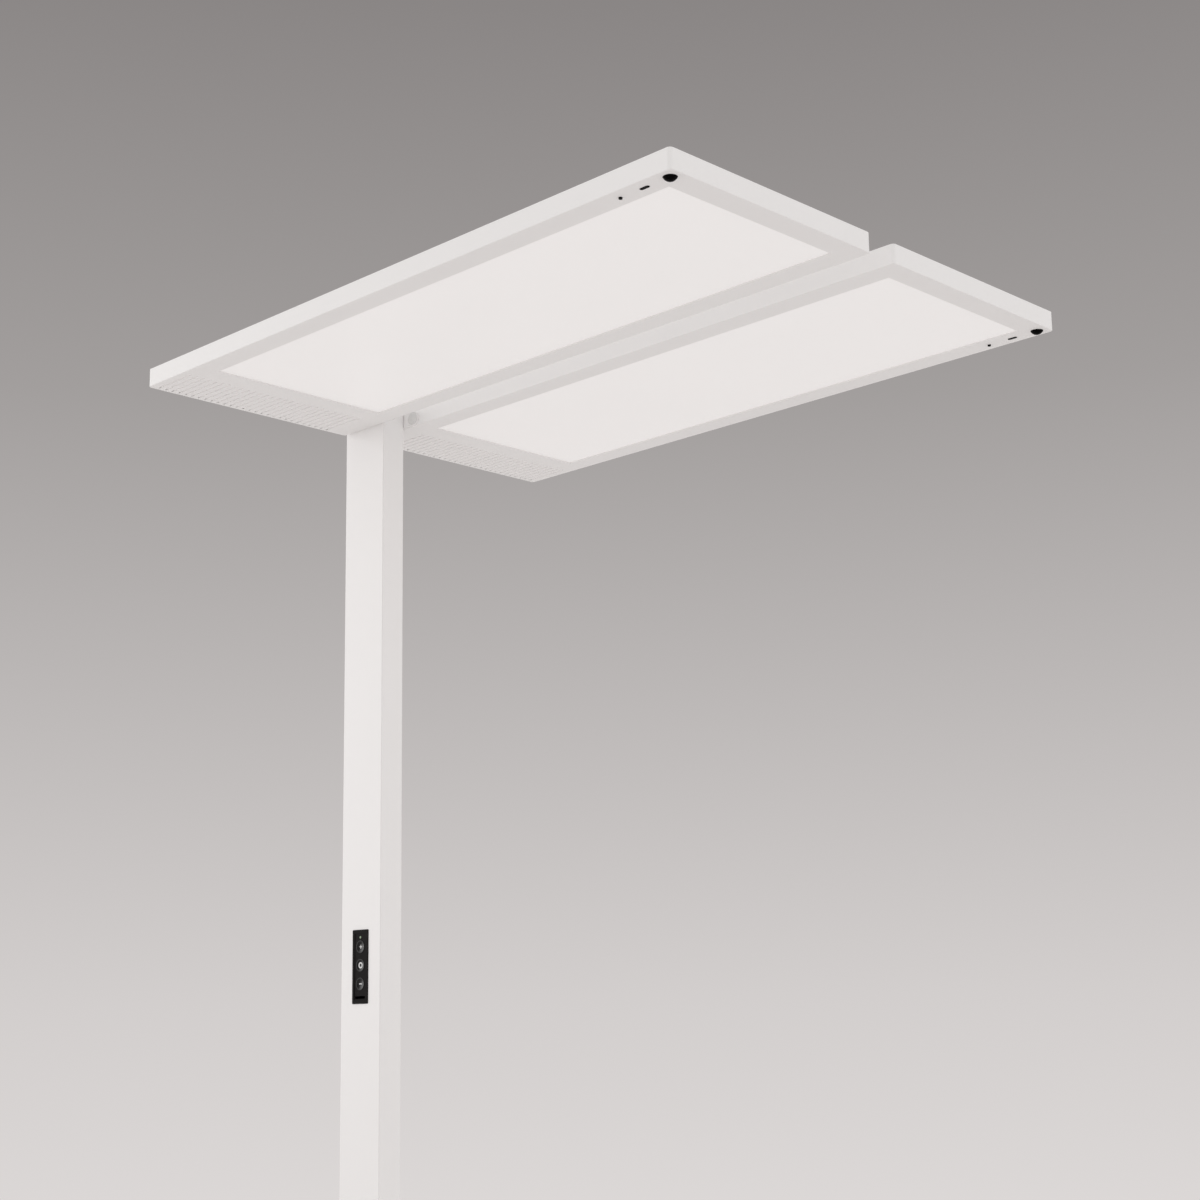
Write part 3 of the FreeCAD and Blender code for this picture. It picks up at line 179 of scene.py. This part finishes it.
class Nodes:
    """The nodes of one material, or of the world."""

    def __init__(self, owner):
        owner.use_nodes = True
        self.tree = owner.node_tree
        self.tree.nodes.clear()

    def add(self, kind, settings=None, sockets=None, output=0):
        """One node: its settings are set first, then the values or links of its sockets."""
        node = self.tree.nodes.new("ShaderNode" + kind)
        for name, value in (settings or {}).items():
            if name == "stops":
                self.set_stops(node.color_ramp, value)
            else:
                setattr(node, name, value)
        for key, value in (sockets or {}).items():
            if isinstance(value, Value):
                self.tree.links.new(value.socket, node.inputs[key])
            else:
                node.inputs[key].default_value = value
        return Value(self, node.outputs[output] if node.outputs else None)

    @staticmethod
    def set_stops(ramp, stops):
        while len(ramp.elements) < len(stops):
            ramp.elements.new(0.5)
        for element, (position, colour) in zip(ramp.elements, stops):
            element.position = position
            element.color = colour

    def mix(self, factor, first, second):
        """A colour between two colours: sockets 6 and 7 and output 2 of a Mix node hold colours."""
        return self.add("Mix", {"data_type": "RGBA"},
                        {0: factor, 6: rgba(first), 7: rgba(second)}, output=2)

    def tones(self, factor, colour, darker, lighter):
        """A colour from its darker to its lighter tone, both given as shares of it."""
        return self.mix(factor, shaded(colour, darker), shaded(colour, lighter))

    def place(self):
        """The point on the piece, in metres in the lamp's own frame."""
        return self.add("TexCoord", output="Object")

    def axes(self):
        """The place's x, y and z."""
        point = self.place()
        return [self.add("SeparateXYZ", {}, {0: point}, output=axis) for axis in "XYZ"]

    def noise(self, size, detail=2.0, stretch=None):
        """Noise from 0 to 1 whose patches are about that size, longer where stretch is over 1."""
        point = self.place()
        if stretch:
            scale = tuple(1.0 / s for s in stretch)
            point = self.add("Mapping", {"vector_type": "POINT"},
                             {"Vector": point, "Scale": scale})
        return self.add("TexNoise", {}, {"Vector": point, "Scale": 1.0 / size, "Detail": detail})

    def wave(self, value, pitch):
        """0 to 1 and back along value, once per pitch."""
        return self.add("Math", {"operation": "PINGPONG"}, {0: value * (2.0 / pitch), 1: 1.0})

    def bump(self, height, depth):
        return self.add("Bump", {}, {"Height": height, "Distance": depth})


def rgba(colour):
    return (*colour, 1.0)


def shaded(colour, factor):
    return tuple(min(1.0, channel * factor) for channel in colour)


def about(noise, swing):
    """A noise turned into a swing of that size about nought."""
    return (noise - 0.5) * swing


def finish(name, fixed, varied):
    """A material: fixed holds plain values of the shader's sockets, varied works out its links."""
    material = bpy.data.materials.new(name)
    nodes = Nodes(material)
    shader = nodes.add("BsdfPrincipled", {}, {**fixed, **varied(nodes)})
    nodes.add("OutputMaterial", {}, {"Surface": shader})
    return material


# ---------------------------------------------------------------- finishes
def powder_coat(name, colour, gloss):
    """Matt stoved powder: fine orange peel, faint clouds in tone and gloss, specks of a grain."""
    def varied(nodes):
        clouds = nodes.noise(90 * MM, detail=3.0)
        grain = nodes.noise(0.5 * MM, detail=3.0)
        peel = nodes.noise(1.3 * MM)
        return {
            "Base Color": nodes.tones(clouds * 0.6 + grain * 0.4, colour, 0.975, 1.02),
            "Roughness": gloss + about(clouds, 0.06) + about(grain, 0.10),
            "Normal": nodes.bump(peel * 0.7 + grain * 0.3, 0.06 * MM),
        }
    return finish(name, {"IOR": 1.45}, varied)


def opal_acrylic(name, colour, glow):
    """Satin opal sheet with light behind it, or film whose glow is painted light: even, with a very
    fine frosted surface.
    """
    def varied(nodes):
        frost = nodes.noise(0.25 * MM)
        clouds = nodes.noise(160 * MM)
        return {
            "Base Color": nodes.tones(clouds, colour, 0.99, 1.01),
            "Roughness": 0.42 + about(frost, 0.12),
            "Normal": nodes.bump(frost, 0.004 * MM),
        }
    fixed = {"IOR": 1.49, "Emission Color": rgba(LIT_WHITE), "Emission Strength": glow}
    return finish(name, fixed, varied)


def prism_sheet(name, colour):
    """Clear lighting sheet with rows of small pyramids, milky in depth; its colour darkens down the
    valleys between the pyramids as painted shade.
    """
    def varied(nodes):
        x, y, _ = nodes.axes()
        height = nodes.wave(x, PRISM_PITCH) + nodes.wave(y, PRISM_PITCH)
        frost = nodes.noise(0.4 * MM)
        return {
            # painted shade: the colour is darker down the valleys between the pyramids
            "Base Color": nodes.tones(height * 0.5, colour, 0.92, 1.0),
            "Roughness": 0.16 + frost * 0.10,
            "Normal": nodes.bump(height, 0.45 * MM),
        }
    return finish(name, {"IOR": 1.49, "Coat Weight": 0.3, "Coat Roughness": 0.08}, varied)


def clear_acrylic(name):
    """Polished clear sheet with a net of frosted dots, which take the light out of it."""
    def varied(nodes):
        dots = nodes.add("TexVoronoi", {}, {"Vector": nodes.place(),
                                            "Scale": 1 / FROST_DOT_PITCH})
        return {"Roughness": 0.30 - 0.26 * (dots > FROST_DOT_RADIUS)}
    fixed = {"Base Color": rgba(ACRYLIC), "IOR": 1.49, "Transmission Weight": 0.9}
    return finish(name, fixed, varied)


def moulded(name, colour, roughness, grain=0.35, depth=0.012, sheen=0.5):
    """Injection-moulded plastic: spark-eroded grain, slightly uneven sheen. Grain and depth are
    in millimetres."""
    def varied(nodes):
        spark = nodes.noise(grain * MM, detail=3.0)
        flow = nodes.noise(14 * MM)
        return {
            "Base Color": nodes.tones(flow * 0.5 + spark * 0.5, colour, 0.85, 1.15),
            "Roughness": roughness + about(spark, 0.14) + about(flow, 0.08),
            "Normal": nodes.bump(spark, depth * MM),
        }
    return finish(name, {"IOR": 1.5, "Specular IOR Level": sheen}, varied)


def dark_lens(name, colour, sheen):
    """Deep black plastic that lets infrared through: hardly any sheen, with faint handling haze."""
    def varied(nodes):
        haze = nodes.noise(3.5 * MM, detail=4.0)
        return {
            "Base Color": nodes.tones(haze, colour, 0.6, 1.6),
            "Roughness": 0.16 + haze * 0.14,
            "Normal": nodes.bump(nodes.noise(1.8 * MM), 0.002 * MM),
        }
    return finish(name, {"IOR": 1.45, "Specular IOR Level": sheen}, varied)


def rubber(name, colour, roughness):
    """Matt rubber or cable jacket with a cloudy bloom and a fine grain."""
    def varied(nodes):
        bloom = nodes.noise(9 * MM, detail=4.0)
        grain = nodes.noise(0.5 * MM, detail=3.0)
        return {
            "Base Color": nodes.tones(bloom * 0.7 + grain * 0.3, colour, 0.75, 1.3),
            "Roughness": roughness + about(bloom, 0.18),
            "Normal": nodes.bump(grain, 0.03 * MM),
        }
    return finish(name, {"IOR": 1.5}, varied)


def metal(name, colour, roughness, stretch, metallic=1.0):
    """Bare or plated metal with fine lines along one direction and a cloudy gloss."""
    def varied(nodes):
        lines = nodes.noise(0.35 * MM, detail=3.0, stretch=stretch)
        clouds = nodes.noise(12 * MM, detail=3.0)
        return {
            "Base Color": nodes.tones(lines * 0.6 + clouds * 0.4, colour, 0.86, 1.08),
            "Roughness": roughness + about(lines, 0.16) + about(clouds, 0.10),
            "Normal": nodes.bump(lines, 0.006 * MM),
        }
    return finish(name, {"Metallic": metallic}, varied)


def circuit_board(name, mask):
    """Solder mask over copper: straight tracks show as a slightly raised, lighter net."""
    def varied(nodes):
        x, y, z = nodes.axes()
        track = nodes.wave(x + y + z, TRACK_PITCH) > TRACK_FROM
        patch = nodes.noise(11 * MM, detail=1.0) > COPPER_FROM
        copper = track * patch
        grain = nodes.noise(0.4 * MM)
        return {
            "Base Color": nodes.tones(copper, mask, 1.0, 1.7),
            "Roughness": 0.32 + grain * 0.12,
            "Normal": nodes.bump(copper + grain * 0.2, 0.03 * MM),
        }
    return finish(name, {"IOR": 1.5, "Coat Weight": 0.25}, varied)


def pilot_light(name):
    """Milky green light, lit faintly and unevenly from within."""
    def varied(nodes):
        core = nodes.noise(0.9 * MM, detail=1.0)
        return {
            "Base Color": nodes.mix(core, *PILOT_BODY),
            "Emission Color": nodes.mix(core, *PILOT_GLOW),
        }
    return finish(name, {"Roughness": 0.35, "Emission Strength": 0.18, "IOR": 1.49}, varied)


def printed_sign(name):
    """Light grey ink, laser-cut edges, slightly uneven."""
    def varied(nodes):
        ink = nodes.noise(0.5 * MM, detail=3.0)
        return {
            "Base Color": nodes.mix(ink, *SIGN_INK),
            "Roughness": 0.5 + about(ink, 0.2),
        }
    return finish(name, {"IOR": 1.5}, varied)


def make_finishes():
    """One material for each of the record's material slots."""
    return {
        "base_steel": powder_coat("base_powder", WHITE_PAINT, gloss=0.50),
        "column_paint": powder_coat("column_powder", WHITE_PAINT, gloss=0.44),
        "head_paint": powder_coat("head_powder", WHITE_PAINT, gloss=0.48),
        "arm_paint": powder_coat("arm_powder", WHITE_PAINT, gloss=0.48),
        "painted_screw": powder_coat("screw_paint", shaded(WHITE_PAINT, 0.97), gloss=0.40),
        "glide_rubber": rubber("glide_rubber", (0.035, 0.035, 0.036), roughness=0.78),
        "bare_steel": metal("zinc_plate", (0.62, 0.62, 0.60), roughness=0.34,
                            stretch=(1, 1, 8)),
        # The bolts' grey is partly their zinc plate and partly painted shade, set as dark as the
        # shaded gap between the heads.
        "satin_bolt": metal("satin_zinc_and_shade", (0.73, 0.72, 0.71), roughness=0.60,
                            stretch=(1, 6, 1), metallic=0.12),
        "raw_aluminium": metal("mill_aluminium", (0.76, 0.76, 0.77), roughness=0.40,
                               stretch=(14, 1, 1)),
        "opal_panel": opal_acrylic("opal_sheet", (0.84, 0.822, 0.815), glow=0.155),
        "clear_acrylic": clear_acrylic("guide_acrylic"),
        # The film's glow is painted light: it lifts the shade inside the vent slots that the film
        # closes.
        "white_film": opal_acrylic("film_with_painted_glow", (0.88, 0.865, 0.855), glow=0.14),
        "light_board": moulded("white_mask", (0.78, 0.78, 0.74), roughness=0.42,
                               grain=0.6, depth=0.006),
        "circuit_board": circuit_board("green_mask", (0.035, 0.14, 0.055)),
        "driver_case": moulded("driver_case", (0.66, 0.66, 0.65), roughness=0.48, grain=0.5),
        "cable_jacket": rubber("cable_jacket", (0.55, 0.55, 0.54), roughness=0.62),
        "black_gland": moulded("gland_nylon", (0.030, 0.030, 0.031), roughness=0.44,
                               grain=0.45),
        "black_lens": dark_lens("sensor_lens", (0.0012, 0.0010, 0.0010), sheen=0.05),
        "keypad_black": moulded("keypad_plastic", (0.0060, 0.0046, 0.0042), roughness=0.52,
                                grain=0.28, depth=0.014, sheen=0.07),
        "key_black": moulded("key_plastic", (0.0030, 0.0025, 0.0024), roughness=0.26,
                             grain=0.22, depth=0.006, sheen=0.26),
        "switch_body": moulded("switch_plastic", (0.04, 0.04, 0.04), roughness=0.4),
        "pilot_green": pilot_light("pilot_green"),
    }


def dress_nodes(finishes):
    """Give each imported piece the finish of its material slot, and a few pieces one of their own."""
    own = {
        "uplight_lens": prism_sheet("uplight_prisms", (0.90, 0.885, 0.88)),
        "receiver_window": dark_lens("receiver_pane", (0.0005, 0.0004, 0.0004), sheen=0.0),
    }
    for row in frame["record"]["subparts"]:
        finish_of_slot = finishes[row["material_slot"]]
        stem = row["node"].removesuffix("_a").removesuffix("_b")
        for slot in frame["nodes"][row["node"]].material_slots:
            slot.material = own.get(stem, finish_of_slot)


# ---------------------------------------------------------------- surfaces
def full_turn(steps):
    """Evenly spaced angles once round."""
    return np.linspace(0, 2 * math.pi, steps, endpoint=False)


def surface(name, points, material):
    """A mesh from grids of points (shells, rows, columns, 3). Columns run round and close on
    themselves, and rows that shrink to one point close as poles."""
    shells, rows, columns, _ = points.shape
    index = np.arange(shells * rows * columns).reshape(shells, rows, columns)
    after = np.roll(index, -1, axis=2)
    quads = np.stack([index[:, :-1], after[:, :-1], after[:, 1:], index[:, 1:]], axis=-1)
    mesh = bpy.data.meshes.new(name)
    mesh.from_pydata(points.reshape(-1, 3), [], quads.reshape(-1, 4).tolist())
    shape = bmesh.new()
    shape.from_mesh(mesh)
    bmesh.ops.remove_doubles(shape, verts=shape.verts, dist=MERGE_WITHIN)
    bmesh.ops.recalc_face_normals(shape, faces=shape.faces)
    shape.to_mesh(mesh)
    shape.free()
    mesh.materials.append(material)
    piece = bpy.data.objects.new(name, mesh)
    bpy.context.scene.collection.objects.link(piece)
    return piece


def smooth(piece):
    """Smooth shading, with sharp edges kept crisp."""
    piece.data.shade_smooth()
    piece.data.set_sharp_from_angle(angle=math.radians(SHARP_ANGLE))
    return piece


# ---------------------------------------------------------------- screws in the covers and the cap
def screw_spans(node):
    """Lowest and highest corners of each screw of a node: points nearer than SCREWS_APART, seen
    from above, belong to one screw."""
    mesh = frame["nodes"][node].data
    points = np.empty(len(mesh.vertices) * 3)
    mesh.vertices.foreach_get("co", points)
    points = points.reshape(-1, 3)
    spans = []
    while len(points):
        near = np.hypot(*(points[:, :2] - points[0, :2]).T) < SCREWS_APART
        spans.append((points[near].min(axis=0), points[near].max(axis=0)))
        points = points[~near]
    return spans


def star_edge(turn):
    """Edge of a six-lobed socket, in mean radii: a circle whose radius swings by a seventh, six
    times round."""
    return 1.0 + np.cos(SOCKET_LOBES * turn) / SOCKET_SWING


def star_screws(node, head_depth, shank, material):
    """Countersunk screws with six-lobed sockets, in the places and the size of a node's screws.
    A row is a ring of the turned outline: radius and height are given from the socket's middle
    over its wall, the flat top, the cone and the shank to the tip. The rings of the socket are
    scaled by star_edge."""
    turn = full_turn(SCREW_STEPS)
    lobes = star_edge(turn)
    even = np.ones_like(turn)
    shells = []
    for number, (low, high) in enumerate(screw_spans(node)):
        middle, top, head = (low + high) / 2, high[2], (high[0] - low[0]) / 2
        socket, floor_height = SOCKET_RADIUS * head, -SOCKET_DEPTH * head
        ease = SCREW_EASE * head
        tip_height = low[2] - top
        rings = [
            (0.0, floor_height, even),
            (SOCKET_FLOOR * socket, floor_height, lobes),
            (SOCKET_KNEE[0] * socket, -SOCKET_KNEE[1] * head, lobes),
            (socket, -ease, lobes),
            (socket + ease, 0.0, lobes),
            (SCREW_FLAT * head, 0.0, even),
            (head - ease, 0.0, even),
            (head, -ease, even),
            (head, -SCREW_RIM * ease, even),
            (shank, -head_depth, even),
            (shank, tip_height + shank, even),
            (SCREW_TIP * shank, tip_height, even),
            (0.0, tip_height, even),
        ]
        spin = turn + SCREW_SPIN * number
        shells.append([np.stack([middle[0] + radius * wave * np.cos(spin),
                                 middle[1] + radius * wave * np.sin(spin),
                                 np.full_like(turn, top + height)], axis=-1)
                       for radius, height, wave in rings])
    piece = smooth(surface("star_" + node, np.array(shells), material))
    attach(piece, LAMP)
    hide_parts(node)


# ---------------------------------------------------------------- key signs
def dish_depth(radius):
    """Depth of a key's dish at a radius: a sphere cap as deep as the dish in the middle, and
    nought at its rim."""
    sphere = (DISH_CHORD ** 2 + DISH_DEPTH ** 2) / (2 * DISH_DEPTH)
    return DISH_DEPTH - sphere + np.sqrt(sphere ** 2 - radius ** 2)


def bar_edge(turn, reach, half):
    """Distance from the middle to the edge of a level bar at each angle: the nearer of its end,
    reach over the cosine, and its side, half over the sine."""
    along, across = np.abs(np.cos(turn)) + HAIR, np.abs(np.sin(turn)) + HAIR
    return np.minimum(reach / along, half / across)


def cross_edge(turn, reach, half):
    """Distance from the middle to the edge of a cross at each angle: the further of its level
    and its upright bar. The upright bar is a level one whose reach and half change places."""
    return np.maximum(bar_edge(turn, reach, half), bar_edge(turn, half, reach))


def corner_angles(reach, half):
    """Angles of a bar's four corners."""
    first = math.atan2(half, reach)
    return [first, math.pi - first, math.pi + first, -first]


def with_corners(angles, corners):
    """The angles and those of the corners, in order."""
    return np.unique(np.concatenate([angles, np.array(corners) % (2 * math.pi)]))


def key_sign(key, angles, inner, outer, material):
    """A thin print in a key's dish. Point (t, a) lies at angle a, and at inner + t times the way
    to outer from the key's middle, on the dish; its skirt goes into the key."""
    low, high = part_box("key_" + key)
    middle_x, middle_z = (low.x + high.x) / 2, (low.z + high.z) / 2
    steps = np.linspace(0.0, 1.0, SIGN_ROWS)
    radius = inner + steps[:, None] * (outer - inner)
    depth = dish_depth(radius) - SIGN_PROUD
    radius = np.vstack([radius[:1], radius, radius[-1:]])
    depth = np.vstack([depth[:1] + SIGN_SKIRT, depth, depth[-1:] + SIGN_SKIRT])
    points = np.stack([middle_x + radius * np.cos(angles), low.y + depth,
                       middle_z + radius * np.sin(angles)], axis=-1)
    points = np.concatenate([points, points[:1]])
    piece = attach(surface("sign_" + key, points[None], material), "button_" + key)


def key_signs():
    """A plus, a ring and a minus, each on its own key."""
    ink = printed_sign("sign_ink")
    even = full_turn(SIGN_STEPS)
    plus = with_corners(even, corner_angles(PLUS_REACH, PLUS_HALF)
                        + corner_angles(PLUS_HALF, PLUS_REACH)
                        + corner_angles(PLUS_HALF, PLUS_HALF))
    key_sign("plus", plus, 0.0, cross_edge(plus, PLUS_REACH, PLUS_HALF), ink)
    minus = with_corners(even, corner_angles(MINUS_REACH, MINUS_HALF))
    key_sign("minus", minus, 0.0, bar_edge(minus, MINUS_REACH, MINUS_HALF), ink)
    key_sign("power", even, RING_INNER, np.full_like(even, RING_OUTER), ink)


# ---------------------------------------------------------------- studio
def camera():
    """Camera at the photograph's viewpoint."""
    yaw, pitch, roll = (math.radians(a) for a in (CAMERA_YAW, CAMERA_PITCH, CAMERA_ROLL))
    ahead = Vector((math.sin(yaw) * math.cos(pitch), math.cos(yaw) * math.cos(pitch),
                    math.sin(pitch)))
    right = Vector((math.cos(yaw), -math.sin(yaw), 0.0))
    up = right.cross(ahead)
    turned_right = right * math.cos(roll) + up * math.sin(roll)
    turned_up = up * math.cos(roll) - right * math.sin(roll)
    data = bpy.data.cameras.new("camera")
    data.sensor_width = SENSOR
    data.lens = FOCAL_LENGTH / IMAGE_SIDE * SENSOR
    data.shift_y = PRINCIPAL_DROP / IMAGE_SIDE
    data.clip_end = CAMERA_SIGHT
    item = bpy.data.objects.new("camera", data)
    turn = Matrix((turned_right, turned_up, -ahead)).transposed().to_4x4()
    item.matrix_world = Matrix.Translation(CAMERA_PLACE) @ turn
    bpy.context.scene.collection.objects.link(item)
    bpy.context.scene.camera = item


def seen_rays(nodes):
    """1 for the rays of the camera, in reflections and through clear pieces, and 0 for the rest."""
    camera_ray = nodes.add("LightPath", output="Is Camera Ray")
    glossy_ray = nodes.add("LightPath", output="Is Glossy Ray")
    clear_ray = nodes.add("LightPath", output="Is Transmission Ray")
    return nodes.add("Math", {"operation": "ADD", "use_clamp": True},
                     {0: camera_ray + glossy_ray, 1: clear_ray})


def world():
    """Even room light. The camera and reflections see a backdrop that is pale at the horizon."""
    sky = bpy.data.worlds.new("studio")
    bpy.context.scene.world = sky
    nodes = Nodes(sky)
    direction = nodes.add("TexCoord", output="Generated")
    height = nodes.add("SeparateXYZ", {}, {0: direction}, output="Z")
    lowest, highest = BACKDROP[0][0], BACKDROP[-1][0]
    stops = [((sine - lowest) / (highest - lowest), rgba(colour)) for sine, colour in BACKDROP]
    share = (height - lowest) * (1.0 / (highest - lowest))
    backdrop = nodes.add("ValToRGB", {"stops": stops}, {0: share})
    seen = nodes.add("Background", {}, {"Color": backdrop, "Strength": 1.0})
    light = nodes.add("Background", {}, {"Color": rgba(ROOM_TINT), "Strength": ROOM_LIGHT})
    both = nodes.add("MixShader", {}, {0: seen_rays(nodes), 1: light, 2: seen})
    nodes.add("OutputWorld", {}, {"Surface": both})


def floor():
    """Pale matt floor: a flat disc of even rings from its middle out to FLOOR_REACH, which fades
    into the backdrop. The camera and reflections see it darker than it lights the lamp."""
    turns = full_turn(FLOOR_STEPS)
    radii = np.linspace(0, FLOOR_REACH, FLOOR_RINGS)
    points = np.stack([radii[:, None] * np.cos(turns), radii[:, None] * np.sin(turns),
                       np.zeros((len(radii), len(turns)))], axis=-1)
    material = bpy.data.materials.new("studio_floor")
    nodes = Nodes(material)
    distance = nodes.add("VectorMath", {"operation": "LENGTH"}, {0: nodes.place()},
                         output="Value")
    fade = nodes.add("MapRange", {"interpolation_type": "SMOOTHSTEP"},
                     {"Value": distance, "From Min": FLOOR_FADE[0], "From Max": FLOOR_FADE[1]})
    colour = nodes.mix(seen_rays(nodes), FLOOR_COLOUR, FLOOR_SEEN)
    matt = nodes.add("BsdfDiffuse", {}, {"Color": colour})
    away = nodes.add("BsdfTransparent")
    both = nodes.add("MixShader", {}, {0: fade, 1: matt, 2: away})
    nodes.add("OutputMaterial", {}, {"Surface": both})
    surface("floor", points[None], material)


def softboxes():
    """Large soft lamps round the lamp, each turned to its middle."""
    for name, bearing, height, watts in SOFTBOXES:
        turn = math.radians(bearing)
        away = Vector((math.cos(turn), math.sin(turn), 0.0)) * SOFTBOX_AWAY
        data = bpy.data.lights.new(name, "AREA")
        data.shape = "SQUARE"
        data.size = SOFTBOX_SIDE
        data.energy = watts
        item = bpy.data.objects.new(name, data)
        item.location = away + Vector((0.0, 0.0, height))
        item.rotation_euler = (-away).to_track_quat("-Z", "Y").to_euler()
        item.visible_camera = False
        bpy.context.scene.collection.objects.link(item)


# ---------------------------------------------------------------- build
finishes = make_finishes()
dress_nodes(finishes)
key_signs()
star_screws("cover_screws", head_depth=1.1 * MM, shank=1.25 * MM,
            material=finishes["painted_screw"])
star_screws("cap_screws", head_depth=1.2 * MM, shank=1.8 * MM,
            material=finishes["painted_screw"])
floor()
world()
camera()
softboxes()
bpy.context.scene.view_settings.view_transform = "Standard"
